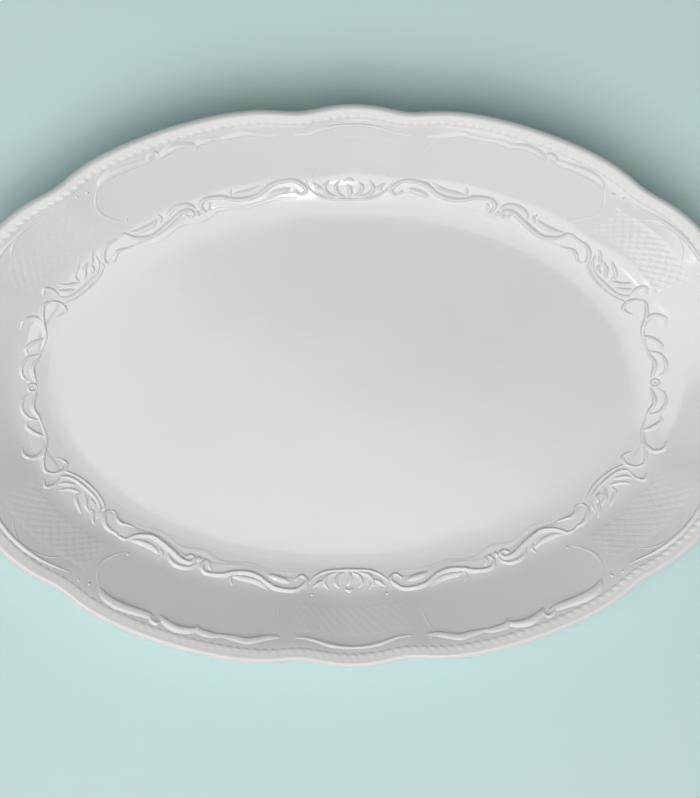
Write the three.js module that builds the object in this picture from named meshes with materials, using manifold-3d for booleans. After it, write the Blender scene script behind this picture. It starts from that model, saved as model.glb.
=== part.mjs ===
// China serving platter: an oval, scalloped porcelain dish with moulded relief round its rim.
// Millimetres, +Z up. The origin is the centre of the foot, on the table; +X is the long axis.
import * as THREE from "three";
import Module from "manifold-3d";

const wasm = await Module();
wasm.setup();

// ------------------------------------------------------------------ driving sizes
const EDGE = { x: 190, y: 127 };        // half length and half breadth before the scallops
const WELL = { x: 134.7, y: 80.8 };       // half length and half breadth of the flat well
const FLOOR = 8;                          // height of the well's floor above the table
const WALL = 4.6;                         // thickness of the porcelain
const GAP = 0.3;                          // clearance between one solid and the next
const TURN = 2 * Math.PI;

// Scallops: dips in the edge, `at` degrees from the short axis, `reach` degrees wide.
const SCALLOPS = [
  { at: 7.6, reach: 6.2, depth: 4.2 },
  { at: 45.2, reach: 5.7, depth: 3.2 },
  { at: 67.5, reach: 5.7, depth: 3.2 },
];

// Slope of the dish from well to lip, as millimetres of rise per unit of `across`.
const SLOPES = [
  { from: -0.01, slope: 14, soft: 0.06 },   // cavetto, the gentle rise round the well
  { from: 0.31, slope: 31, soft: 0.05 },    // flange
  { from: 0.87, slope: 13, soft: 0.05 },    // edge band
];

// ------------------------------------------------------------------ the dish surface
// A place on the dish is (around, across). `around` is in degrees from the short axis towards
// the long axis; `across` runs from 0 at the edge of the well to 1 at the lip.

function scallopInset(around) {
  let inset = 0;
  for (const { at, reach, depth } of SCALLOPS) {
    for (const centre of [at, -at, 180 - at, at - 180]) {
      const away = THREE.MathUtils.euclideanModulo(around - centre + 180, 360) - 180;
      inset += depth / (1 + (away / reach) ** 2) ** 1.5;
    }
  }
  return inset;
}

function planPoint(around, across) {
  const angle = THREE.MathUtils.degToRad(around);
  const edge = new THREE.Vector2(EDGE.x * Math.sin(angle), EDGE.y * Math.cos(angle));
  edge.setLength(edge.length() - scallopInset(around));
  const well = new THREE.Vector2(WELL.x * Math.sin(angle), WELL.y * Math.cos(angle));
  if (across < 0) {
    return well.multiplyScalar(1 + across);
  }
  return well.lerp(edge, across);
}

// A bend that starts flat and ends as a straight ramp, rounded over `soft`.
function ramp(distance, soft) {
  return (distance + Math.hypot(distance, soft)) / 2;
}

function surfaceHeight(across) {
  let height = FLOOR;
  let slopeBefore = 0;
  for (const { from, slope, soft } of SLOPES) {
    height += (slope - slopeBefore) * (ramp(across - from, soft) - ramp(-1 - from, soft));
    slopeBefore = slope;
  }
  return height;
}

function surfacePoint(around, across) {
  const plan = planPoint(around, across);
  return new THREE.Vector3(plan.x, plan.y, surfaceHeight(across));
}

// The point `lift` millimetres off the dish, along the surface's upward normal.
function offSurface(around, across, lift) {
  const step = 0.01;
  const point = surfacePoint(around, across);
  const alongEdge = surfacePoint(around + step, across).sub(point);
  const outwards = surfacePoint(around, across + step).sub(point);
  const normal = alongEdge.cross(outwards).normalize();
  return point.addScaledVector(normal, lift);
}

// Local scale of the surface: millimetres per degree round and per unit across.
function localScale(around, across) {
  const point = planPoint(around, across);
  return {
    round: planPoint(around + 0.5, across).distanceTo(planPoint(around - 0.5, across)),
    out: planPoint(around, across + 0.1).distanceTo(point) / 0.1,
  };
}

// ------------------------------------------------------------------ mesh helpers
// A closed tube of rings, each the same number of points. With `capped` the first and last
// rings are closed by a fan; otherwise the last ring joins back to the first.
function tubeGeometry(rings, capped) {
  const sides = rings[0].length;
  const points = rings.flat();
  const triangles = [];
  const bands = capped ? rings.length - 1 : rings.length;
  for (let i = 0; i < bands; i++) {
    const here = i * sides;
    const next = ((i + 1) % rings.length) * sides;
    for (let j = 0; j < sides; j++) {
      const k = (j + 1) % sides;
      triangles.push(here + j, here + k, next + k);
      triangles.push(here + j, next + k, next + j);
    }
  }
  if (capped) {
    const last = (rings.length - 1) * sides;
    for (let j = 1; j < sides - 1; j++) {
      triangles.push(0, j + 1, j);
      triangles.push(last, last + j, last + j + 1);
    }
  }
  return closedGeometry(points, triangles);
}

// Builds the geometry, turning every triangle over if the solid came out inside out.
function closedGeometry(points, triangles) {
  let volume = 0;
  for (let i = 0; i < triangles.length; i += 3) {
    const [a, b, c] = [points[triangles[i]], points[triangles[i + 1]], points[triangles[i + 2]]];
    volume += a.dot(b.clone().cross(c));
  }
  if (volume < 0) {
    triangles.reverse();
  }
  const geometry = new THREE.BufferGeometry();
  geometry.setAttribute("position", new THREE.Float32BufferAttribute(points.flatMap((p) => p.toArray()), 3));
  geometry.setIndex(triangles);
  geometry.computeVertexNormals();
  return geometry;
}

function toManifold(geometry) {
  const mesh = new wasm.Mesh({
    numProp: 3,
    vertProperties: new Float32Array(geometry.attributes.position.array),
    triVerts: new Uint32Array(geometry.index.array),
  });
  return new wasm.Manifold(mesh);
}

function joined(geometries) {
  let solid = toManifold(geometries[0]);
  for (const geometry of geometries.slice(1)) {
    solid = solid.add(toManifold(geometry));
  }
  const mesh = solid.getMesh();
  const points = [];
  for (let i = 0; i < mesh.vertProperties.length; i += mesh.numProp) {
    points.push(new THREE.Vector3(...mesh.vertProperties.slice(i, i + 3)));
  }
  return closedGeometry(points, Array.from(mesh.triVerts));
}

// A copy mirrored into another quarter of the platter: sx and sy are 1 or -1.
function mirrored(geometry, sx, sy) {
  const copy = geometry.clone();
  copy.scale(sx, sy, 1);
  if (sx * sy < 0) {
    copy.setIndex(Array.from(copy.index.array).reverse());
  }
  copy.computeVertexNormals();
  return copy;
}

// ------------------------------------------------------------------ body, foot and edge beads
const COLUMNS = 96;

function ringOf(count, pointAt) {
  return Array.from({ length: count }, (_, i) => pointAt((360 * i) / count));
}

function bodyGeometry() {
  // Stations from the middle of the well out over the top, round the lip and back underneath.
  const top = [-0.3, -0.08, 0, 0.07, 0.25, 0.31, 0.37, 0.82, 0.9, 0.96];
  const lip = [[0.985, -0.5], [1, -WALL / 2], [0.985, 0.5 - WALL]];
  const under = [0.92, 0.8, 0.38, 0.29, 0.12, 0.045, -0.055, -0.3];
  const stations = [
    ...top.map((across) => [across, 0]),
    ...lip,
    ...under.map((across) => [across, -WALL]),
  ];
  const points = [new THREE.Vector3(0, 0, FLOOR), new THREE.Vector3(0, 0, FLOOR - WALL)];
  const triangles = [];
  const start = (ring) => 2 + ring * COLUMNS;
  for (const [across, lift] of stations) {
    points.push(...ringOf(COLUMNS, (around) => offSurface(around, across, lift)));
  }
  const last = start(stations.length - 1);
  for (let j = 0; j < COLUMNS; j++) {
    const k = (j + 1) % COLUMNS;
    triangles.push(0, start(0) + j, start(0) + k);
    triangles.push(1, last + k, last + j);
    for (let ring = 0; ring < stations.length - 1; ring++) {
      triangles.push(start(ring) + j, start(ring + 1) + j, start(ring + 1) + k);
      triangles.push(start(ring) + j, start(ring + 1) + k, start(ring) + k);
    }
  }
  return closedGeometry(points, triangles);
}

// The foot: an oval ring under the well with a flat, unglazed resting face.
function footGeometry() {
  const top = -WALL - GAP;
  const tread = { inner: -0.035, outer: 0.022 };
  return tubeGeometry(ringOf(72, (around) => [
    offSurface(around, -0.05, top),
    offSurface(around, 0.04, top),
    planAtHeight(around, 0.032, 1),
    planAtHeight(around, tread.outer, 0),
    planAtHeight(around, tread.inner, 0),
    planAtHeight(around, -0.045, 1),
  ]), false);
}

function planAtHeight(around, across, height) {
  const plan = planPoint(around, across);
  return new THREE.Vector3(plan.x, plan.y, height);
}

// Angles that divide the platter into `count` equal lengths of edge band.
function evenlySpacedAngles(count, across) {
  const steps = 1440;
  const lengths = [0];
  for (let i = 1; i <= steps; i++) {
    const before = planPoint((360 * (i - 1)) / steps, across);
    lengths.push(lengths[i - 1] + planPoint((360 * i) / steps, across).distanceTo(before));
  }
  const angles = [];
  let i = 0;
  for (let n = 0; n < count; n++) {
    const target = (lengths[steps] * n) / count;
    while (lengths[i + 1] < target) {
      i++;
    }
    angles.push((360 * (i + (target - lengths[i]) / (lengths[i + 1] - lengths[i]))) / steps);
  }
  return angles;
}

// A row of small slanting beads just inside the smooth lip, joined by a low web.
function edgeBeadsGeometry() {
  const BEADS = 240;
  const slant = 0.5;                       // degrees the inner end of a bead trails the outer
  const rings = evenlySpacedAngles(2 * BEADS, 0.89).map((around, i) => {
    const crest = i % 2 === 0 ? 1.0 : 0.35;
    return [
      offSurface(around + slant, 0.87, GAP),
      offSurface(around + slant / 2, 0.895, GAP + crest),
      offSurface(around - slant, 0.955, GAP),
    ];
  });
  return tubeGeometry(rings, false);
}

// ------------------------------------------------------------------ scrollwork
// One modelled stroke of relief: a ridge along a smooth curve through [around, across] points.
// It is `width` wide and `height` high in the middle and thins towards both ends.
function stroke(width, height, ...through) {
  const scale = localScale(through[0][0], through[0][1]);
  const curve = new THREE.SplineCurve(through.map(([around, across]) => (
    new THREE.Vector2(around * scale.round, across * scale.out)
  )));
  const segments = Math.max(3, Math.round(curve.getLength() / 5));
  const rings = [];
  for (let i = 0; i <= segments; i++) {
    const share = i / segments;
    const centre = curve.getPointAt(share);
    const forward = curve.getTangentAt(share);
    const fullness = 0.35 + 0.65 * Math.sin(Math.PI * share) ** 0.7;
    const at = (sideways, lift) => offSurface(
      (centre.x - forward.y * sideways) / scale.round,
      (centre.y + forward.x * sideways) / scale.out,
      GAP + lift,
    );
    const half = (width / 2) * fullness;
    const rise = height * fullness;
    rings.push([at(-half, 0), at(half, 0), at(0, rise)]);
  }
  return tubeGeometry(rings, true);
}

// A stroke and its mirror image about the short axis.
function pair(width, height, ...through) {
  const flipped = through.map(([around, across]) => [-around, across]);
  return [stroke(width, height, ...through), stroke(width, height, ...flipped)];
}

// The garland of C and S scrolls along the top of the cavetto, in one quarter of the platter.
function innerGarland() {
  const nearScroll = stroke(2.4, 1.4, [8.9, 0.2], [9.4, 0.275], [11.2, 0.305], [13.4, 0.27], [15.6, 0.18]);
  const nearBowl = stroke(2.2, 1, [8.2, 0.25], [8.8, 0.175], [10.6, 0.165], [12.4, 0.2], [15, 0.175]);
  const firstStem = stroke(2.2, 1.2, [14.6, 0.2], [17, 0.155], [19.6, 0.14], [22.3, 0.165], [25.2, 0.225], [28, 0.155]);
  const firstLeaf = stroke(2.6, 1.1, [14, 0.25], [16.4, 0.225], [19.4, 0.215], [21, 0.25], [21.4, 0.32]);
  const archLeft = stroke(2.2, 1.2, [21.9, 0.17], [22.8, 0.26], [25.4, 0.292], [27.6, 0.265], [29, 0.205]);
  const archRight = stroke(2.2, 1.2, [28.6, 0.2], [29.9, 0.275], [32, 0.29], [34.2, 0.25], [35.2, 0.185]);
  const middleCurl = stroke(1.8, 1, [27.8, 0.16], [29.2, 0.14], [30.6, 0.16], [31.6, 0.225]);
  const secondStem = stroke(2.2, 1.2, [31.2, 0.225], [34, 0.195], [38.6, 0.14], [41.2, 0.155], [42.8, 0.22], [43.2, 0.3]);
  const upright = stroke(1.8, 1, [34.8, 0.2], [35.1, 0.26], [35.6, 0.32]);
  const secondLeaf = stroke(2.6, 1.1, [35, 0.26], [36.8, 0.21], [39, 0.215], [41.9, 0.22], [43, 0.25]);
  const farScroll = stroke(2.4, 1.3, [43, 0.27], [44.6, 0.295], [47.4, 0.28], [49.2, 0.23], [50.1, 0.165]);
  const farCurl = stroke(1.8, 1, [50, 0.17], [49.2, 0.13], [47.6, 0.165], [45.7, 0.2]);
  return joined([
    nearScroll, nearBowl, firstStem, firstLeaf, archLeft, archRight,
    middleCurl, secondStem, upright, secondLeaf, farScroll, farCurl,
  ]);
}

// The shell between two scroll garlands, under each basketwork corner.
function cornerShell() {
  const rimArch = stroke(2, 1.2, [50.9, 0.145], [52.4, 0.11], [57.5, 0.078], [62, 0.11], [64.2, 0.17]);
  const bowl = stroke(2, 1.2, [50.9, 0.24], [53, 0.15], [57, 0.122], [61.4, 0.15], [63.6, 0.24]);
  const fronds = [-5.6, -3, -0.4, 2.2, 4.4].map((lean) => stroke(
    2.4, 1.1, [57.3 + lean * 0.25, 0.08], [57.3 + lean * 0.65, 0.2], [57.3 + lean, 0.295 - 0.002 * lean ** 2],
  ));
  const crest = stroke(2, 1.1, [63.2, 0.2], [62.2, 0.28], [62.8, 0.345], [64.6, 0.32]);
  return joined([rimArch, bowl, ...fronds, crest]);
}

// The scrolls that close the border round each end of the platter.
function endScroll() {
  const tail = stroke(2.2, 1.3, [65.2, 0.24], [66.6, 0.272], [68.8, 0.245], [70.6, 0.2], [73.4, 0.13]);
  const curl = stroke(2, 1.1, [66.4, 0.265], [65, 0.22], [65.2, 0.14], [66.8, 0.105], [68.6, 0.14]);
  const bigScroll = stroke(2.4, 1.3, [74, 0.33], [71.8, 0.34], [70.5, 0.28], [71.6, 0.18], [75, 0.11], [79.4, 0.1]);
  const sWave = stroke(2.2, 1.2, [78.8, 0.1], [81.4, 0.11], [84, 0.14], [86.2, 0.125], [88.2, 0.1]);
  const leaf = stroke(2.4, 1, [75.4, 0.11], [76.6, 0.17], [78.8, 0.225], [80.4, 0.21]);
  const arch = stroke(2, 1, [80.2, 0.105], [81.4, 0.19], [84, 0.23], [86.8, 0.21], [88, 0.165]);
  return joined([tail, curl, bigScroll, sWave, leaf, arch]);
}

// The leafy shell at the middle of each long side, on the short axis.
function centreShell() {
  const arch = stroke(2.2, 1.3, [-7.2, 0.35], [-6.3, 0.23], [-4, 0.12], [0, 0.078], [4, 0.12], [6.3, 0.23], [7.2, 0.35]);
  const middle = stroke(3, 1.3, [0, 0.08], [0, 0.17], [0, 0.27]);
  const inner = pair(2.8, 1.2, [0.5, 0.085], [1.7, 0.17], [2.5, 0.265]);
  const outer = pair(2.6, 1.2, [1, 0.09], [3.1, 0.155], [4.6, 0.25]);
  return joined([arch, middle, ...inner, ...outer]);
}

// Scrolls just inside the edge beads that frame a long plain reserve, in one quarter.
function outerScrolls() {
  const nearLeaf = stroke(3.2, 1.1, [12, 0.76], [14, 0.8], [16.4, 0.812], [19, 0.785]);
  const squareLeaf = stroke(3.8, 1.2, [18.4, 0.79], [20.4, 0.8], [22.2, 0.805], [23.8, 0.78]);
  const hoop = stroke(2, 1.1, [23.2, 0.765], [24.2, 0.82], [26.2, 0.842], [28.1, 0.815], [29, 0.76]);
  const hook = stroke(1.8, 1, [28.5, 0.79], [30, 0.83], [31.2, 0.77]);
  const farLeaf = stroke(3.2, 1.2, [30.6, 0.775], [33, 0.785], [36.4, 0.828], [39.2, 0.805], [40.8, 0.75]);
  const nearEnd = stroke(1.3, 0.6, [13, 0.775], [11.9, 0.66], [11.7, 0.52], [13, 0.37]);
  const farEnd = stroke(1.3, 0.6, [40.4, 0.77], [42.5, 0.64], [43.1, 0.5], [42.2, 0.37]);
  return joined([nearLeaf, squareLeaf, hoop, hook, farLeaf, nearEnd, farEnd]);
}

// A plain raised line following one edge lobe, with a fan of short ribs hanging from it.
function edgeArch(from, to, lobeHeight) {
  const middle = (from + to) / 2;
  const reach = (to - from) / 2;
  const at = (share) => [middle + reach * share, lobeHeight - 0.045 * share ** 2];
  return stroke(1.7, 0.9, at(-1), at(-0.5), at(0), at(0.5), at(1));
}

function cornerFan() {
  const line = edgeArch(45.8, 66.6, 0.848);
  const fan = stroke(1.6, 0.8, [48.9, 0.71], [50.6, 0.78], [54.8, 0.828], [58.4, 0.78], [60.2, 0.71]);
  return joined([line, fan]);
}

// ------------------------------------------------------------------ basketwork panels
// A thin panel of over-and-under weave: raised and sunk squares alternate.
// `ends` gives the angles of its two ends at mid height; they bow by `bow` degrees.
function basketPanel({ ends, acrossFrom, acrossTo, bow, columns, rows }) {
  const LOW = 0.25;
  const HIGH = 0.75;
  const place = (i, j) => {
    const share = j / rows;
    const across = acrossFrom + (acrossTo - acrossFrom) * share;
    const pull = bow * (1 - (2 * share - 1) ** 2);
    const [start, end] = [ends[0] + pull, ends[1] - pull];
    return [start + ((end - start) * i) / columns, across];
  };
  const rings = [];
  for (let i = 0; i <= columns; i++) {
    const ring = [];
    for (let j = 0; j <= rows; j++) {
      const edge = i === 0 || i === columns || j === 0 || j === rows;
      const lift = edge || (i + j) % 2 === 0 ? LOW : HIGH;
      ring.push(offSurface(...place(i, j), GAP + lift));
    }
    for (let j = rows; j >= 0; j--) {
      ring.push(offSurface(...place(i, j), GAP));
    }
    rings.push(ring);
  }
  return closedPanel(rings);
}

// Closes a panel swept from rings: its two end rings are filled strip by strip.
function closedPanel(rings) {
  const sides = rings[0].length;
  const points = rings.flat();
  const triangles = [];
  for (let i = 0; i < rings.length - 1; i++) {
    for (let j = 0; j < sides; j++) {
      const k = (j + 1) % sides;
      const [here, next] = [i * sides, (i + 1) * sides];
      triangles.push(here + j, here + k, next + k, here + j, next + k, next + j);
    }
  }
  const last = (rings.length - 1) * sides;
  for (let j = 0; j < sides / 2 - 1; j++) {
    const far = sides - 1 - j;
    triangles.push(j, far - 1, j + 1, j, far, far - 1);
    triangles.push(last + j, last + j + 1, last + far - 1, last + j, last + far - 1, last + far);
  }
  return closedGeometry(points, triangles);
}

// A small ring of relief with a button in it, where two end scrolls meet on the long axis.
function rosette() {
  const centre = { around: 90, across: 0.13 };
  const scale = localScale(centre.around, centre.across);
  const at = (radius, turn, lift) => offSurface(
    centre.around + (radius * Math.cos(turn)) / scale.round,
    centre.across + (radius * Math.sin(turn)) / scale.out,
    GAP + lift,
  );
  const ringAt = (radius, lift) => Array.from({ length: 16 }, (_, i) => at(radius, (TURN * i) / 16, lift));
  return tubeGeometry([ringAt(2.3, 0), ringAt(2, 0.9), ringAt(1.3, 0.5), ringAt(0.7, 1.1)], true);
}

// ------------------------------------------------------------------ assembly
const glaze = new THREE.MeshStandardMaterial({
  name: "glazed_porcelain", color: 0xe8e8e4, roughness: 0.16, metalness: 0,
});
const reliefGlaze = new THREE.MeshStandardMaterial({
  name: "relief_porcelain", color: 0xececea, roughness: 0.2, metalness: 0,
});
const bisque = new THREE.MeshStandardMaterial({
  name: "foot_porcelain", color: 0xd9d5cb, roughness: 0.75, metalness: 0,
});

const platter = new THREE.Group();
platter.name = "china_serving_platter";

function addPiece(name, geometry, material) {
  const mesh = new THREE.Mesh(geometry, material);
  mesh.name = name;
  platter.add(mesh);
}

addPiece("platter_body", bodyGeometry(), glaze);
addPiece("foot_ring", footGeometry(), bisque);
addPiece("edge_beads", edgeBeadsGeometry(), reliefGlaze);

// Pieces that appear once in each quarter of the platter.
const QUARTERS = { ne: [1, 1], nw: [-1, 1], se: [1, -1], sw: [-1, -1] };
const cornerWeave = { ends: [44.2, 66.2], acrossFrom: 0.4, acrossTo: 0.68, bow: 0.6, columns: 14, rows: 5 };
const quarterPieces = {
  inner_garland: innerGarland(),
  corner_shell: cornerShell(),
  end_scroll: endScroll(),
  outer_scrolls: outerScrolls(),
  corner_fan: cornerFan(),
  basket_corner: basketPanel(cornerWeave),
};
for (const [piece, geometry] of Object.entries(quarterPieces)) {
  for (const [quarter, [sx, sy]] of Object.entries(QUARTERS)) {
    addPiece(`${piece}_${quarter}`, mirrored(geometry, sx, sy), reliefGlaze);
  }
}

// Pieces on the short axis, at the middle of each long side.
const centreWeave = { ends: [-10.2, 10.2], acrossFrom: 0.42, acrossTo: 0.7, bow: 0, columns: 12, rows: 4 };
const sidePieces = {
  centre_shell: centreShell(),
  centre_line: edgeArch(-8.6, 8.6, 0.808),
  basket_centre: basketPanel(centreWeave),
};
for (const [piece, geometry] of Object.entries(sidePieces)) {
  addPiece(`${piece}_n`, geometry, reliefGlaze);
  addPiece(`${piece}_s`, mirrored(geometry, 1, -1), reliefGlaze);
}

// Pieces on the long axis, at each end.
const endPieces = {
  end_rosette: rosette(),
  end_line: edgeArch(69.4, 110.6, 0.848),
};
for (const [piece, geometry] of Object.entries(endPieces)) {
  addPiece(`${piece}_e`, geometry, reliefGlaze);
  addPiece(`${piece}_w`, mirrored(geometry, -1, 1), reliefGlaze);
}

export default platter;
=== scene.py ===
"""Looks for the china serving platter: a glazed, relief-moulded porcelain dish on a pale floor."""

import math

import bmesh
import bpy
import numpy as np
from mathutils import Matrix, Vector


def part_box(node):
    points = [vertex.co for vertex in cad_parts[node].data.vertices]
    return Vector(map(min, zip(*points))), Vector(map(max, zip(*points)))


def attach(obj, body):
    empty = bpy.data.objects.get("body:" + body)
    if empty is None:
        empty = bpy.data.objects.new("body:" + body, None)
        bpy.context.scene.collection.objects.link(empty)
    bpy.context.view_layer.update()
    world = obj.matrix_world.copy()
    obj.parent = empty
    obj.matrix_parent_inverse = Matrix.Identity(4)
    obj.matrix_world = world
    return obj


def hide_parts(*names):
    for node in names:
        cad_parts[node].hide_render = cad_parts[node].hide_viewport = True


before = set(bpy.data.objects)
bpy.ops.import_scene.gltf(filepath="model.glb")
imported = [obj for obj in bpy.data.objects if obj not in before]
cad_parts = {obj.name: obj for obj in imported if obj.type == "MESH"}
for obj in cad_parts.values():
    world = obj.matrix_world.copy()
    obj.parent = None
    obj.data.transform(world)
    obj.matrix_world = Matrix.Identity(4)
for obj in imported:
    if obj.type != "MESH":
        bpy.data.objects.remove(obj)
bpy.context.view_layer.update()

# ---------------------------------------------------------------- driving sizes, in metres
MM = 0.001
body_low, body_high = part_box("platter_body")
foot_low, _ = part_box("foot_ring")

WALL = 4.6 * MM                      # thickness of the porcelain
FLOOR = body_low.z + WALL            # height of the well's floor
HALF_LENGTH = body_high.x
EDGE = (0.9970 * HALF_LENGTH, 0.6660 * HALF_LENGTH)    # half axes before the scallops
WELL = (0.7072 * HALF_LENGTH, 0.4242 * HALF_LENGTH)    # half axes of the flat well
BEADS = 240                          # beads round the edge
COLUMNS = 720                        # stations round the body and the foot

# Scallops: dips in the edge (degrees from the short axis, reach in degrees, depth).
SCALLOPS = ((7.6, 6.2, 4.2 * MM), (45.2, 5.7, 3.2 * MM), (67.5, 5.7, 3.2 * MM))

# Slope from well to lip: (start, rise per unit across, softness of the bend).
SLOPES = ((-0.01, 14 * MM, 0.06), (0.31, 31 * MM, 0.05), (0.87, 13 * MM, 0.05))


# ---------------------------------------------------------------- the dish surface
# A place on the dish is (around, across): degrees from the short axis towards the long axis,
# and 0 at the edge of the well to 1 at the lip.

def scallop_inset(around):
    inset = np.zeros_like(around)
    for at, reach, depth in SCALLOPS:
        for centre in (at, -at, 180 - at, at - 180):
            away = (around - centre + 180) % 360 - 180
            inset += depth / (1 + (away / reach) ** 2) ** 1.5
    return inset


def plan_point(around, across):
    """x and y of places on the dish."""
    around, across = np.broadcast_arrays(np.asarray(around, float), np.asarray(across, float))
    sine, cosine = np.sin(np.radians(around)), np.cos(np.radians(around))
    edge_x, edge_y = EDGE[0] * sine, EDGE[1] * cosine
    shrink = 1 - scallop_inset(around) / np.hypot(edge_x, edge_y)
    well_x, well_y = WELL[0] * sine, WELL[1] * cosine
    outwards = np.maximum(across, 0)
    inwards = 1 + np.minimum(across, 0)
    x = (well_x + (edge_x * shrink - well_x) * outwards) * inwards
    y = (well_y + (edge_y * shrink - well_y) * outwards) * inwards
    return x, y


def ramp(distance, soft):
    return (distance + np.hypot(distance, soft)) / 2


def surface_height(across):
    height = np.full_like(across, FLOOR)
    slope_before = 0.0
    for start, slope, soft in SLOPES:
        height += (slope - slope_before) * (ramp(across - start, soft) - ramp(-1 - start, soft))
        slope_before = slope
    return height


def surface_point(around, across):
    around, across = np.broadcast_arrays(np.asarray(around, float), np.asarray(across, float))
    x, y = plan_point(around, across)
    return np.stack([x, y, surface_height(across)], axis=-1)


def off_surface(around, across, lift):
    """Points `lift` metres off the dish along its upward normal."""
    step = 0.01
    point = surface_point(around, across)
    along = surface_point(around + step, across) - point
    outwards = surface_point(around, across + step) - point
    normal = np.cross(along, outwards)
    normal /= np.linalg.norm(normal, axis=-1, keepdims=True)
    return point + normal * np.asarray(lift)[..., None]


class FlatMap:
    """Unrolls a stretch of the rim so that widths on it are real millimetres."""

    def __init__(self, start, end, across):
        self.angles = np.linspace(start, end, 400)
        x, y = plan_point(self.angles, across)
        steps = np.hypot(np.diff(x), np.diff(y)) / MM
        self.lengths = np.concatenate([[0], np.cumsum(steps)])
        middle = (start + end) / 2
        x, y = plan_point(middle, np.array([0.0, 1.0]))
        self.depth = math.hypot(x[1] - x[0], y[1] - y[0]) / MM

    def to_mm(self, around, across):
        return np.interp(around, self.angles, self.lengths), np.asarray(across) * self.depth


# ---------------------------------------------------------------- mesh building
def make_object(node_name, vertices, faces):
    name = f"{node_name}_glazed"
    mesh = bpy.data.meshes.new(name)
    mesh.vertices.add(len(vertices))
    mesh.vertices.foreach_set("co", np.asarray(vertices, np.float32).ravel())
    mesh.loops.add(faces.size)
    mesh.loops.foreach_set("vertex_index", faces.astype(np.int32).ravel())
    mesh.polygons.add(len(faces))
    mesh.polygons.foreach_set("loop_start", np.arange(0, faces.size, 4, dtype=np.int32))
    mesh.polygons.foreach_set("use_smooth", np.ones(len(faces), bool))
    mesh.update(calc_edges=True)
    mesh.validate()
    piece = bpy.data.objects.new(name, mesh)
    bpy.context.scene.collection.objects.link(piece)
    return piece


def grow(mask):
    """The mask one cell wider on every side, with cells that touch only at a corner bridged."""
    wide = mask.copy()
    for axis in (0, 1):
        for shift in (1, -1):
            moved = np.roll(wide, shift, axis)
            wide = wide | moved
    crossed = wide[:-1, :-1] & wide[1:, 1:] & ~wide[1:, :-1] & ~wide[:-1, 1:]
    crossed |= ~wide[:-1, :-1] & ~wide[1:, 1:] & wide[1:, :-1] & wide[:-1, 1:]
    for i, j in ((0, 0), (0, 1), (1, 0), (1, 1)):
        wide[i:i + crossed.shape[0], j:j + crossed.shape[1]] |= crossed
    return wide


def shell(node_name, top, bottom, keep, closed_ring=False, flip=False):
    """A closed shell over the kept cells of a grid, with `top` and `bottom` faces and walls."""
    rows, columns = keep.shape
    counts = top.shape[0], top.shape[1]
    index = np.arange(counts[0] * counts[1]).reshape(counts)
    after = np.roll(index, -1, 0) if closed_ring else np.vstack([index[1:], index[-1:]])
    near_left, near_right = index[:rows, :columns], index[:rows, 1:columns + 1]
    far_left, far_right = after[:rows, :columns], after[:rows, 1:columns + 1]
    under = counts[0] * counts[1]
    faces = [np.stack([c[keep] for c in (near_left, near_right, far_right, far_left)], 1)]
    faces.append(faces[0][:, ::-1] + under)
    if closed_ring:
        before, following = np.roll(keep, 1, 0), np.roll(keep, -1, 0)
    else:
        before = np.vstack([np.zeros((1, columns), bool), keep[:-1]])
        following = np.vstack([keep[1:], np.zeros((1, columns), bool)])
    left = np.hstack([np.zeros((rows, 1), bool), keep[:, :-1]])
    right = np.hstack([keep[:, 1:], np.zeros((rows, 1), bool)])
    sides = (
        (before, near_left, near_right), (right, near_right, far_right),
        (following, far_right, far_left), (left, far_left, near_left),
    )
    for neighbour, start, end in sides:
        edge = keep & ~neighbour
        a, b = start[edge], end[edge]
        faces.append(np.stack([b, a, a + under, b + under], 1))
    faces = np.concatenate(faces)
    if flip:
        faces = faces[:, ::-1]
    vertices = np.concatenate([top.reshape(-1, 3), bottom.reshape(-1, 3)])
    used, faces = np.unique(faces, return_inverse=True)
    return make_object(node_name, vertices[used], faces.reshape(-1, 4))


# ---------------------------------------------------------------- materials
def node(tree, kind, **settings):
    made = tree.nodes.new(kind)
    for key, value in settings.items():
        if key in made.inputs:
            made.inputs[key].default_value = value
        else:
            setattr(made, key, value)
    return made


def colour_ramp(tree, factor, stops):
    ramp_node = tree.nodes.new("ShaderNodeValToRGB")
    elements = ramp_node.color_ramp.elements
    for element, (position, colour) in zip(elements, stops):
        element.position = position
        element.color = (*colour, 1)
    for position, colour in stops[2:]:
        elements.new(position).color = (*colour, 1)
    tree.links.new(factor, ramp_node.inputs["Fac"])
    return ramp_node.outputs["Color"]


def value_range(tree, value, low, high):
    made = tree.nodes.new("ShaderNodeMapRange")
    made.inputs["To Min"].default_value = low
    made.inputs["To Max"].default_value = high
    tree.links.new(value, made.inputs["Value"])
    return made.outputs["Result"]


def new_material(name):
    material = bpy.data.materials.new(name)
    material.use_nodes = True
    tree = material.node_tree
    shader = tree.nodes["Principled BSDF"]
    place = tree.nodes.new("ShaderNodeTexCoord").outputs["Object"]
    return material, tree, shader, place


def noise(tree, place, scale, detail=3.0):
    made = node(tree, "ShaderNodeTexNoise", Scale=scale, Detail=detail)
    tree.links.new(place, made.inputs["Vector"])
    return made.outputs["Fac"]


def bump(tree, heights):
    """Chains bumps: each is (height socket, strength, distance in metres)."""
    normal = None
    for height, strength, distance in heights:
        made = node(tree, "ShaderNodeBump", Strength=strength, Distance=distance)
        tree.links.new(height, made.inputs["Height"])
        if normal is not None:
            tree.links.new(normal, made.inputs["Normal"])
        normal = made.outputs["Normal"]
    return normal


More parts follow.
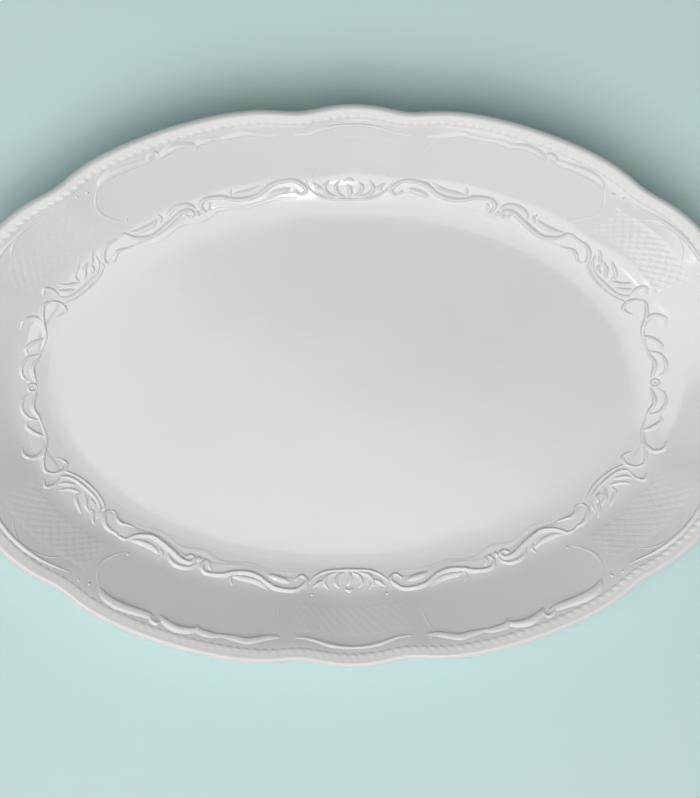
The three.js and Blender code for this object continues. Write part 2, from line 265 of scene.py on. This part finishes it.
def glazed_porcelain(name, light, dark, gloss):
    """White body under a clear glaze: soft tone drift, glaze ripple and a few firing specks."""
    material, tree, shader, place = new_material(name)
    drift = noise(tree, place, 9, 2)
    tone = colour_ramp(tree, drift, ((0.3, dark), (0.7, light)))
    specks = node(tree, "ShaderNodeTexVoronoi", Scale=42.0, Randomness=1.0)
    tree.links.new(place, specks.inputs["Vector"])
    speck_stops = ((0.0, (0.8, 0.76, 0.7)), (0.012, (1, 1, 1)))
    speck_mask = colour_ramp(tree, specks.outputs["Distance"], speck_stops)
    mixed = node(tree, "ShaderNodeMix", data_type="RGBA", blend_type="MULTIPLY")
    mixed.inputs[0].default_value = 1
    tree.links.new(tone, mixed.inputs[6])
    tree.links.new(speck_mask, mixed.inputs[7])
    tree.links.new(mixed.outputs[2], shader.inputs["Base Color"])
    wear = noise(tree, place, 60, 4)
    tree.links.new(value_range(tree, wear, gloss, gloss + 0.07), shader.inputs["Roughness"])
    ripple = noise(tree, place, 28, 2)
    peel = noise(tree, place, 420, 2)
    normal = bump(tree, ((ripple, 0.22, 0.0012), (peel, 0.08, 0.0001)))
    tree.links.new(normal, shader.inputs["Normal"])
    shader.inputs["IOR"].default_value = 1.52
    return material


def foot_porcelain():
    """Glazed flanks that turn to matt, faintly sandy bisque on the wiped resting face."""
    material, tree, shader, place = new_material("foot_porcelain")
    axes = tree.nodes.new("ShaderNodeSeparateXYZ")
    tree.links.new(place, axes.inputs["Vector"])
    grain = noise(tree, place, 900, 4)
    wander, glaze_starts, glaze_full = 0.0006, 0.0006, 0.0011     # metres above the table
    edge_wander = node(tree, "ShaderNodeMath", operation="MULTIPLY_ADD")
    edge_wander.inputs[1].default_value = wander
    tree.links.new(noise(tree, place, 45), edge_wander.inputs[0])
    tree.links.new(axes.outputs["Z"], edge_wander.inputs[2])
    glazed = node(tree, "ShaderNodeMapRange")
    glazed.inputs["From Min"].default_value = glaze_starts
    glazed.inputs["From Max"].default_value = glaze_full
    tree.links.new(edge_wander.outputs[0], glazed.inputs["Value"])
    bisque_to_glaze = ((0.0, (0.62, 0.58, 0.5)), (1.0, (0.75, 0.75, 0.73)))
    tone = colour_ramp(tree, glazed.outputs["Result"], bisque_to_glaze)
    dust = colour_ramp(tree, grain, ((0.35, (0.9, 0.89, 0.87)), (0.65, (1, 1, 1))))
    mixed = node(tree, "ShaderNodeMix", data_type="RGBA", blend_type="MULTIPLY")
    mixed.inputs[0].default_value = 1
    tree.links.new(tone, mixed.inputs[6])
    tree.links.new(dust, mixed.inputs[7])
    tree.links.new(mixed.outputs[2], shader.inputs["Base Color"])
    tree.links.new(value_range(tree, glazed.outputs["Result"], 0.85, 0.2), shader.inputs["Roughness"])
    tree.links.new(bump(tree, ((grain, 0.35, 0.0001),)), shader.inputs["Normal"])
    return material


GLAZE = glazed_porcelain("glazed_porcelain", (0.80, 0.80, 0.785), (0.765, 0.765, 0.75), 0.1)
# The relief copy of the glaze is a shade lighter than the body's: painted highlight for the light the
# raised ornament catches, since body and relief share one glaze.
RELIEF_GLAZE = glazed_porcelain("relief_porcelain", (0.81, 0.81, 0.795), (0.775, 0.775, 0.76), 0.08)
FOOT = foot_porcelain()


def add_piece(piece, nodes, material):
    piece.data.materials.append(material)
    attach(piece, "root")
    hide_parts(*nodes)
    return piece


# ---------------------------------------------------------------- body and foot
def body_profile():
    """(across, lift) stations over the top, round the lip and back underneath."""
    lip_reach = 0.045
    well_rings, top_rings, under_rings, lip_rings = 13, 45, 19, 14
    well = -1 + np.linspace(0, 1, well_rings + 1)[1:] ** 0.7     # closer together near the wall
    top = np.concatenate([well, np.linspace(0, 1 - lip_reach, top_rings + 1)[1:]])
    under = np.concatenate([well, np.linspace(0, 1 - lip_reach, under_rings + 1)[1:]])
    turn = np.linspace(0, math.pi, lip_rings + 1)[1:-1]
    lip = [(1 - lip_reach * (1 - math.sin(a)), -WALL / 2 * (1 - math.cos(a))) for a in turn]
    return [(across, 0.0) for across in top] + lip + [(across, -WALL) for across in under[::-1]]


def platter_body():
    around = np.linspace(0, 360, COLUMNS, endpoint=False)
    rings = [off_surface(around, np.full(COLUMNS, across), np.full(COLUMNS, lift))
             for across, lift in body_profile()]
    vertices = np.concatenate(rings)
    index = np.arange(len(vertices)).reshape(len(rings), COLUMNS)
    here, after = index[:-1], index[1:]
    faces = np.stack([here, np.roll(here, -1, 1), np.roll(after, -1, 1), after], -1).reshape(-1, 4)
    piece = make_object("platter_body", vertices, faces)
    close_centres(piece, index[0], index[-1])
    return add_piece(piece, ["platter_body"], GLAZE)


def close_centres(piece, first_ring, last_ring):
    """Fills the small holes left in the middle of the well, above and below."""
    mesh = bmesh.new()
    mesh.from_mesh(piece.data)
    mesh.verts.ensure_lookup_table()
    for ring, outwards in ((first_ring, 1), (last_ring, -1)):
        loop = [mesh.verts[i] for i in ring]
        mesh.faces.new(loop if outwards > 0 else loop[::-1]).smooth = True
    bmesh.ops.recalc_face_normals(mesh, faces=mesh.faces)
    mesh.to_mesh(piece.data)
    mesh.free()


def foot_ring():
    """An oval ring with rounded shoulders, whose top edge is buried in the wall above it."""
    around = np.linspace(0, 360, COLUMNS, endpoint=False)
    top = 4.7
    # (place across the dish, millimetres above the table)
    section = ((-0.05, top), (-0.047, 2.2), (-0.042, 0.9), (-0.037, 0.25), (-0.031, 0.0),
               (0.019, 0.0), (0.025, 0.25), (0.029, 0.9), (0.034, 2.2), (0.04, top))
    buried = 0.2 * MM
    rings = []
    for across, rise in section:
        x, y = plan_point(around, across)
        level = np.full(COLUMNS, foot_low.z + rise * MM)
        if rise == top:
            lift = np.full(COLUMNS, -WALL + buried)
            level = np.minimum(level, off_surface(around, np.full(COLUMNS, across), lift)[:, 2])
        rings.append(np.stack([x, y, level], -1))
    vertices = np.concatenate(rings)
    index = np.arange(len(vertices)).reshape(len(rings), COLUMNS)
    after = np.roll(index, -1, 0)
    faces = np.stack([index, after, np.roll(after, -1, 1), np.roll(index, -1, 1)], -1).reshape(-1, 4)
    return add_piece(make_object("foot_ring", vertices, faces), ["foot_ring"], FOOT)


# ---------------------------------------------------------------- relief
SINK = 0.05      # millimetres that plain ground of a relief piece lies below the body
EMBED = 1.2      # millimetres that a relief piece reaches into the wall
LEAN = 0.4       # how much steeper a ridge's well side is than its lip side
CELL = 0.3       # millimetres between the grid lines of a relief piece
LEAST = 0.01     # millimetres of height below which ground counts as plain


def spline(points, samples=24):
    """A smooth curve through the points (Catmull-Rom)."""
    points = np.asarray(points, float)
    padded = np.vstack([2 * points[0] - points[1], points, 2 * points[-1] - points[-2]])
    t = np.linspace(0, 1, samples, endpoint=False)[:, None]
    curve = []
    for a, b, c, d in zip(padded, padded[1:], padded[2:], padded[3:]):
        curve.append(0.5 * (2 * b + (c - a) * t + (2 * a - 5 * b + 4 * c - d) * t ** 2
                            + (3 * b - a - 3 * c + d) * t ** 3))
    return np.vstack([*curve, points[-1:]])


def stroke(width, height, *through, groove=0.0, blunt=0.35):
    """A modelled ridge. `groove` hollows its crown; `blunt` is how full its ends stay."""
    return {
        "width": width, "height": height, "through": through,
        "groove": groove, "blunt": blunt, "bed": False,
    }


def dot(diameter, height, around, across):
    return stroke(diameter, height, (around, across), blunt=1)


def ground(width, height, *through):
    """A low flat bed that the strokes of an ornament stand on."""
    return {**stroke(width, height, *through, blunt=0.8), "bed": True}


def mirror(strokes):
    """The same strokes on the other side of the short axis."""
    return [{**s, "through": tuple((-a, v) for a, v in s["through"])} for s in strokes]


def stroke_heights(x, y, flat, item):
    """Height of one stroke, in millimetres, at flat-map points."""
    px, py = flat.to_mm([p[0] for p in item["through"]], [p[1] for p in item["through"]])
    line = np.stack([px, py], -1)
    if len(line) > 1:
        line = spline(line)
    heights = np.zeros_like(x)
    reach = item["width"] / 2
    near = ((x > line[:, 0].min() - reach) & (x < line[:, 0].max() + reach)
            & (y > line[:, 1].min() - reach) & (y < line[:, 1].max() + reach))
    if not near.any():
        return heights
    away = np.hypot(x[near][:, None] - line[None, :, 0], y[near][:, None] - line[None, :, 1])
    nearest = away.argmin(1)
    distance = away[np.arange(len(nearest)), nearest]
    share = nearest / max(1, len(line) - 1)
    if len(line) > 1:
        full = item["blunt"] + (1 - item["blunt"]) * np.sin(np.pi * np.clip(share, 0, 1)) ** 0.7
    else:
        full = np.ones_like(distance)
    offset = np.clip(distance / (reach * full), 0, 1)
    if item["bed"]:
        crown = (1 - offset ** 5) ** 1.5
    else:
        crown = (1 - offset ** 2.2) ** 1.5
    crown *= 1 - item["groove"] * np.exp(-(offset / 0.4) ** 2)
    outwards = (y[near] - line[nearest, 1]) / reach
    crown *= 1 - LEAN * np.clip(outwards, -1, 1)
    heights[near] = item["height"] * full * crown
    return heights


def relief_heights(flat, around, across, items):
    """Strokes melted together (a smooth maximum of their heights) and laid on their bed."""
    x, y = flat.to_mm(around, across)
    x, y = np.broadcast_arrays(x, y)
    strokes, bed = np.zeros(x.shape), np.zeros(x.shape)
    for item in items:
        heights = stroke_heights(x, y, flat, item)
        if item["bed"]:
            bed = np.maximum(bed, heights)
        else:
            strokes += heights ** 3
    return bed + np.cbrt(strokes)


def relief_grid(start, end, low, high, cell):
    """Grid of places over a stretch of rim, with cells about `cell` millimetres."""
    flat = FlatMap(start, end, (low + high) / 2)
    rows = int(flat.lengths[-1] / cell)
    columns = int((high - low) * flat.depth / cell)
    around = np.interp(np.linspace(0, flat.lengths[-1], rows + 1), flat.lengths, flat.angles)
    across = np.linspace(low, high, columns + 1)
    return flat, around[:, None], across[None, :]


def relief_shell(name, around, across, heights, quarter=(1, 1)):
    around, across = np.broadcast_arrays(around, across)
    top = off_surface(around, across, (heights - SINK) * MM)
    bottom = off_surface(around, across, np.full_like(heights, -EMBED * MM))
    raised = heights > LEAST
    keep = grow(raised[:-1, :-1] | raised[1:, :-1] | raised[:-1, 1:] | raised[1:, 1:])
    keep[0, :] = keep[-1, :] = keep[:, 0] = keep[:, -1] = False
    signs = np.array([quarter[0], quarter[1], 1])
    flip = quarter[0] * quarter[1] > 0
    return shell(name, top * signs, bottom * signs, keep, flip=flip)


QUARTERS = {"ne": (1, 1), "nw": (-1, 1), "se": (1, -1), "sw": (-1, -1)}
SIDES = {"n": (1, 1), "s": (1, -1)}
ENDS = {"e": (1, 1), "w": (-1, 1)}


def add_relief(stem, copies, extent, items, cell=CELL):
    """One relief ornament, copied by mirroring; each copy replaces the CAD node of its name."""
    flat, around, across = relief_grid(*extent, cell)
    heights = relief_heights(flat, around, across, items)
    for suffix, quarter in copies.items():
        name = f"{stem}_{suffix}"
        piece = relief_shell(name, around, across, heights, quarter)
        add_piece(piece, [name], RELIEF_GLAZE)


INNER_GARLAND = [
    ground(7.5, 0.35, (8.3, 0.215), (12, 0.23), (16, 0.19), (20, 0.175), (24, 0.21), (27.5, 0.19)),
    ground(7.5, 0.35, (27.5, 0.19), (31.5, 0.21), (35.5, 0.175), (39.5, 0.165), (43, 0.19), (47, 0.2),
           (49.4, 0.17)),
    stroke(2.6, 1.1, (26.9, 0.15), (27.2, 0.2), (26.5, 0.25), (25.2, 0.267), (22.8, 0.24), (21.2, 0.2),
           (18.7, 0.175), (16.4, 0.195), (14.6, 0.245), (13.2, 0.281), (11.4, 0.3), (9.4, 0.296),
           (8.1, 0.24), (7.6, 0.19), (8.3, 0.15), (9.2, 0.155), (9.6, 0.185), blunt=0.6),
    stroke(3.0, 0.8, (20.8, 0.23), (19.8, 0.236), (18.3, 0.236), (16.6, 0.245), (15.1, 0.275),
           (14.3, 0.3), groove=0.3),
    stroke(1.5, 0.7, (20.4, 0.318), (21.1, 0.27), (21.2, 0.22)),
    stroke(3.4, 0.8, (14.6, 0.165), (12.6, 0.19), (10.8, 0.215)),
    stroke(2.0, 0.5, (26.2, 0.15), (25.9, 0.19), (25.2, 0.222)),
    stroke(2.6, 1.1, (44, 0.276), (42.6, 0.264), (41.8, 0.195), (40.4, 0.145), (38.7, 0.12),
           (36.3, 0.138), (33.6, 0.175), (31.6, 0.21), (30.4, 0.218), (29.4, 0.212), (29.1, 0.17),
           (29.9, 0.145), (30.6, 0.175), blunt=0.6),
    stroke(3.2, 0.9, (41.6, 0.25), (40.4, 0.225), (38.8, 0.215), (37.1, 0.218), (35.8, 0.24),
           groove=0.25),
    stroke(1.5, 0.8, (35.8, 0.2), (34.9, 0.24), (35.0, 0.29)),
    stroke(2.4, 1.0, (34, 0.206), (33, 0.254), (31.4, 0.282), (29.7, 0.277), (28.7, 0.25), (28.3, 0.2)),
    stroke(1.9, 0.8, (28.2, 0.18), (28.4, 0.13)),
    stroke(2.2, 1.0, (49.9, 0.105), (50.3, 0.14), (49.4, 0.2), (48, 0.25), (46.6, 0.271), (45.3, 0.27),
           (44, 0.28)),
    stroke(1.9, 0.9, (49.7, 0.1), (48.9, 0.098), (47.6, 0.135), (46.2, 0.16), (44.8, 0.142),
           (43.1, 0.122)),
    stroke(3.6, 0.25, (43.5, 0.09), (42, 0.09), (39.6, 0.06), (37.9, 0.055), (35.9, 0.07),
           (33.6, 0.105), (31.5, 0.11), (29.2, 0.085), (27.6, 0.085), (25.6, 0.115), (24.3, 0.135),
           (21.7, 0.118), (19.1, 0.095), (16.8, 0.105), (14.5, 0.12), (12.1, 0.12), (9.2, 0.115)),
    dot(1.4, 0.7, 40.3, 0.373),
]

CORNER_SHELL = [
    ground(6.5, 0.3, (62.6, 0.16), (60, 0.14), (57, 0.15), (54, 0.17), (51.8, 0.2)),
    stroke(1.7, 0.9, (64.2, 0.119), (62.2, 0.079), (60, 0.057), (57.7, 0.051), (55.6, 0.055),
           (53.3, 0.078), (51.6, 0.11), (50.9, 0.14), blunt=0.7),
    stroke(1.8, 0.9, (63.4, 0.183), (62.6, 0.137), (61.1, 0.107), (59.3, 0.096), (57, 0.091),
           (54.6, 0.098), (52.6, 0.126), (51.2, 0.171), (50.4, 0.231), blunt=0.6),
    stroke(2.2, 0.8, (62, 0.24), (61.4, 0.19), (60, 0.137)),
    stroke(2.3, 0.8, (60.6, 0.27), (59.6, 0.2), (57.8, 0.15)),
    stroke(2.0, 0.9, (57.6, 0.16), (57.1, 0.215), (55.3, 0.252), (53.4, 0.285)),
    stroke(2.0, 0.9, (56.4, 0.14), (55.2, 0.175), (54.2, 0.21), (52.6, 0.232)),
    stroke(1.8, 0.9, (54.8, 0.135), (53.5, 0.15), (52.7, 0.19)),
    stroke(1.8, 0.9, (53, 0.2), (52, 0.22), (50.9, 0.262), (49.6, 0.3)),
    stroke(2.0, 0.9, (63.2, 0.2), (62.4, 0.28), (62.8, 0.345), (64.6, 0.32)),
]

END_SCROLL = [
    ground(6.5, 0.3, (66, 0.19), (70, 0.2), (74, 0.2), (79, 0.16), (84, 0.17), (88, 0.13)),
    stroke(2.2, 1.1, (65.2, 0.24), (66.6, 0.272), (68.8, 0.245), (70.6, 0.2), (73.4, 0.13)),
    stroke(1.9, 1.0, (66.4, 0.265), (65, 0.22), (64.8, 0.14), (66, 0.08), (67.4, 0.085), (68.6, 0.12)),
    stroke(2.6, 1.1, (74, 0.33), (71.8, 0.34), (70.5, 0.28), (71.6, 0.18), (75, 0.11), (79.4, 0.1),
           groove=0.25),
    stroke(2.2, 1.0, (78.8, 0.1), (81.4, 0.11), (84, 0.14), (86.2, 0.125), (88.2, 0.1)),
    stroke(2.4, 0.8, (75.4, 0.11), (76.6, 0.17), (78.8, 0.225), (80.4, 0.21)),
    stroke(2.0, 0.8, (80.2, 0.105), (81.4, 0.19), (84, 0.23), (86.8, 0.21), (88, 0.165)),
]

CENTRE_FRONDS = [
    stroke(2.2, 0.9, (0.7, 0.09), (1.9, 0.13), (2.4, 0.2), (1.7, 0.245)),
    stroke(2.2, 0.9, (1.5, 0.085), (3.6, 0.125), (4.4, 0.2), (3.6, 0.265)),
    stroke(2.0, 0.8, (4.6, 0.18), (5.5, 0.21), (6.4, 0.255)),
    dot(1.4, 0.7, 6.5, 0.335),
]
CENTRE_SHELL = CENTRE_FRONDS + mirror(CENTRE_FRONDS) + [
    ground(7.0, 0.3, (-5.2, 0.2), (-2.5, 0.15), (0, 0.14), (2.5, 0.15), (5.2, 0.2)),
    stroke(1.9, 1.0, (-7.6, 0.29), (-7.3, 0.22), (-6.4, 0.157), (-5.1, 0.108), (-3.5, 0.08), (0, 0.066),
           (3.5, 0.08), (5.1, 0.108), (6.4, 0.157), (7.3, 0.22), (7.6, 0.29)),
    stroke(2.6, 1.0, (0, 0.08), (0.3, 0.15), (-0.2, 0.22)),
    stroke(1.8, 0.8, (-0.9, 0.25), (0, 0.275), (0.9, 0.25)),
]

OUTER_SCROLLS = [
    stroke(3.6, 1.0, (11.2, 0.755), (13.1, 0.76), (15.6, 0.8), (17.5, 0.79), (20.4, 0.783), groove=0.2),
    stroke(3.4, 1.0, (19.4, 0.79), (21.2, 0.8), (23, 0.79), (23.6, 0.74), groove=0.2),
    stroke(4.0, 1.2, (23.1, 0.755), (23.7, 0.79), (25.3, 0.819), (27.1, 0.815), (28.7, 0.785),
           (29.4, 0.76)),
    stroke(1.8, 0.9, (30.9, 0.77), (30.5, 0.82), (29.3, 0.838), (28.9, 0.79)),
    stroke(4.6, 1.3, (30, 0.8), (31.6, 0.793), (34.9, 0.811), (36.9, 0.815), (38.9, 0.8), (40, 0.765),
           groove=0.2),
    dot(1.5, 0.8, 42, 0.79),
    dot(1.4, 0.7, 43.8, 0.82),
    stroke(1.6, 0.22, (13, 0.775), (11.9, 0.66), (11.7, 0.52), (13, 0.37)),
    stroke(1.8, 0.4, (40.2, 0.77), (42.4, 0.66), (43, 0.55), (42.2, 0.447), (41, 0.365)),
]

CORNER_FAN = [
    stroke(2.4, 0.8, (45.8, 0.803), (51, 0.832), (56.2, 0.843), (61.4, 0.832), (66.6, 0.803)),
    stroke(1.8, 0.3, (48.9, 0.71), (50.6, 0.78), (54.8, 0.828), (58.4, 0.78), (60.2, 0.71)),
]

CENTRE_LINE = [
    stroke(2.2, 0.8, (-8.8, 0.765), (-6.6, 0.774), (-3.4, 0.804), (0, 0.815),
           (3.4, 0.804), (6.6, 0.774), (8.8, 0.765)),
]

END_LINE = [
    stroke(1.7, 0.8, (69.4, 0.803), (79.7, 0.837), (90, 0.848), (100.3, 0.837), (110.6, 0.803)),
]


def edge_beads():
    """Slanting beads in a raised band just inside the smooth lip."""
    low, high = 0.862, 0.955
    per_bead, columns = 10, 14
    slant = 0.35                       # beads, from the inner side of the band to the outer
    ledge, crest = 0.2, 0.55           # millimetres
    inner_slope = 0.3                  # share of the band over which it rises
    fine = np.linspace(0, 360, 7200)
    x, y = plan_point(fine, (low + high) / 2)
    lengths = np.concatenate([[0], np.cumsum(np.hypot(np.diff(x), np.diff(y)))])
    count = BEADS * per_bead
    around = np.interp(np.linspace(0, lengths[-1], count, endpoint=False), lengths, fine)[:, None]
    share = np.linspace(0, 1, columns + 1)[None, :]
    phase = np.arange(count)[:, None] / per_bead + slant * (share - 0.5)
    bead = np.abs(np.cos(np.pi * phase)) ** 0.8
    fade = (1 - share) * np.clip(share / inner_slope, 0, 1)
    heights = fade * (ledge + crest * bead ** 2 * (1 - share))
    around, across = np.broadcast_arrays(around, low + (high - low) * share)
    top = off_surface(around, across, (heights - SINK) * MM)
    bottom = off_surface(around, across, np.full_like(heights, -EMBED * MM))
    keep = np.ones((count, columns), bool)
    piece = shell("edge_beads", top, bottom, keep, closed_ring=True, flip=True)
    return add_piece(piece, ["edge_beads"], RELIEF_GLAZE)


def basket_weave(stem, copies, extent, bow, depth, pitch):
    """A panel of diagonal basketwork: strands that pass over and under each other."""
    start, end, low, high = extent
    ground_height = SINK + 0.02
    fade_around, fade_across = 2.5, 0.15      # degrees, and share of the panel's width
    flat, around, across = relief_grid(start, end, low, high, CELL)
    x, y = flat.to_mm(around, across)
    p, q = (x + y) / (pitch * math.sqrt(2)), (x - y) / (pitch * math.sqrt(2))
    a, b = p - np.floor(p) - 0.5, q - np.floor(q) - 0.5
    over = (np.floor(p) + np.floor(q)) % 2 == 0
    along, side = np.where(over, a, b), np.where(over, b, a)
    strand = np.cos(np.pi * side * 0.96) ** 0.6 * (0.45 + 0.55 * np.cos(np.pi * along))
    share = (across - low) / (high - low)
    pull = bow * (1 - (2 * share - 1) ** 2)
    inside = np.minimum(around - start - pull, end - pull - around)
    margin = np.minimum(inside / fade_around, np.minimum(share, 1 - share) / fade_across)
    heights = (ground_height + depth * strand) * np.clip(margin, 0, 1)
    for suffix, quarter in copies.items():
        name = f"{stem}_{suffix}"
        piece = relief_shell(name, around, across, heights, quarter)
        add_piece(piece, [name], RELIEF_GLAZE)


def rosette():
    """A ring with a button in it, where two end scrolls meet."""
    middle = (90, 0.13)
    reach = (1.1, 0.034)               # degrees around, and share across
    turns = [math.radians(a) for a in range(0, 361, 30)]
    circle = [(middle[0] + reach[0] * math.cos(t), middle[1] + reach[1] * math.sin(t)) for t in turns]
    items = [stroke(1.3, 0.9, *circle, blunt=1), dot(1.5, 1.0, *middle)]
    add_relief("end_rosette", ENDS, (87.5, 92.5, 0.06, 0.2), items, cell=CELL / 2)


platter_body()
foot_ring()
edge_beads()
add_relief("inner_garland", QUARTERS, (6.5, 51.3, 0.02, 0.42), INNER_GARLAND)
add_relief("corner_shell", QUARTERS, (49, 66.5, 0.02, 0.39), CORNER_SHELL)
add_relief("end_scroll", QUARTERS, (63.5, 89.6, 0.05, 0.39), END_SCROLL)
add_relief("centre_shell", SIDES, (-9, 9, 0.03, 0.4), CENTRE_SHELL)
add_relief("outer_scrolls", QUARTERS, (10, 45, 0.34, 0.87), OUTER_SCROLLS)
add_relief("corner_fan", QUARTERS, (44.5, 68, 0.68, 0.87), CORNER_FAN)
add_relief("centre_line", SIDES, (-10, 10, 0.74, 0.83), CENTRE_LINE)
add_relief("end_line", ENDS, (68, 112, 0.78, 0.87), END_LINE)
basket_weave("basket_corner", QUARTERS, (43, 66.6, 0.37, 0.73), 0.8, 0.17, 3.0)
basket_weave("basket_centre", SIDES, (-10.6, 10.6, 0.4, 0.73), 0.0, 0.1, 3.0)
rosette()


# ---------------------------------------------------------------- floor, light and camera
def add_floor():
    half = 3.0
    corners = [(-half, -half, 0), (half, -half, 0), (half, half, 0), (-half, half, 0)]
    mesh = bpy.data.meshes.new("floor")
    mesh.from_pydata(corners, [], [(0, 1, 2, 3)])
    floor = bpy.data.objects.new("floor", mesh)
    bpy.context.scene.collection.objects.link(floor)
    material, tree, shader, place = new_material("floor")
    pale_tints = ((0.3, (0.60, 0.80, 0.79)), (0.7, (0.63, 0.82, 0.81)))
    tone = colour_ramp(tree, noise(tree, place, 1.5), pale_tints)
    tree.links.new(tone, shader.inputs["Base Color"])
    shader.inputs["Roughness"].default_value = 0.8
    floor.data.materials.append(material)


def add_area_light(name, location, aim, size, power, colour=(1, 1, 1)):
    data = bpy.data.lights.new(name, "AREA")
    data.shape = "RECTANGLE"
    data.size, data.size_y = size
    data.energy = power
    data.color = colour
    light = bpy.data.objects.new(name, data)
    light.location = location
    light.rotation_euler = (Vector(aim) - Vector(location)).to_track_quat("-Z", "Y").to_euler()
    bpy.context.scene.collection.objects.link(light)


def add_world(strength):
    world = bpy.data.worlds.new("studio")
    world.use_nodes = True
    background = world.node_tree.nodes["Background"]
    background.inputs["Color"].default_value = (0.95, 0.97, 1.0, 1)
    background.inputs["Strength"].default_value = strength
    bpy.context.scene.world = world


IMAGE_HEIGHT = 798                   # the picture's longer side, in pixels
FOCAL_PIXELS = 2962                  # focal length on the same scale
CAMERA_AIM = Vector((-0.0007, -0.0056, 0.02))
CAMERA_PLACE = Vector((-0.1918, 0.0669, 1.3289))


def add_camera():
    data = bpy.data.cameras.new("camera")
    data.sensor_width = 36
    data.lens = data.sensor_width * FOCAL_PIXELS / IMAGE_HEIGHT
    camera = bpy.data.objects.new("camera", data)
    back = (CAMERA_PLACE - CAMERA_AIM).normalized()
    right = Vector((0, 1, 0)).cross(back).normalized()
    up = back.cross(right)
    camera.matrix_world = camera_matrix(right, up, back, CAMERA_PLACE)
    bpy.context.scene.collection.objects.link(camera)
    bpy.context.scene.camera = camera


def camera_matrix(right, up, back, place):
    rotation = Matrix((right, up, back)).transposed()
    return Matrix.Translation(place) @ rotation.to_4x4()


bpy.context.scene.view_settings.view_transform = "Standard"
add_floor()
add_world(0.16)
add_area_light("key", (-0.4, -0.85, 1.95), (0, 0, 0), (2.8, 2.2), 45, (1, 0.995, 0.98))
add_area_light("left_sparkle", (-0.5, -1.0, 1.7), (0, 0, 0), (0.1, 0.1), 0.9)
add_area_light("right_sparkle", (0.35, -1.1, 1.6), (0, 0, 0), (0.1, 0.1), 0.8)
add_area_light("warm_sparkle", (-0.8, -1.05, 1.3), (0.1, 0.1, 0), (0.08, 0.08), 0.3, (1, 0.9, 0.75))
add_camera()
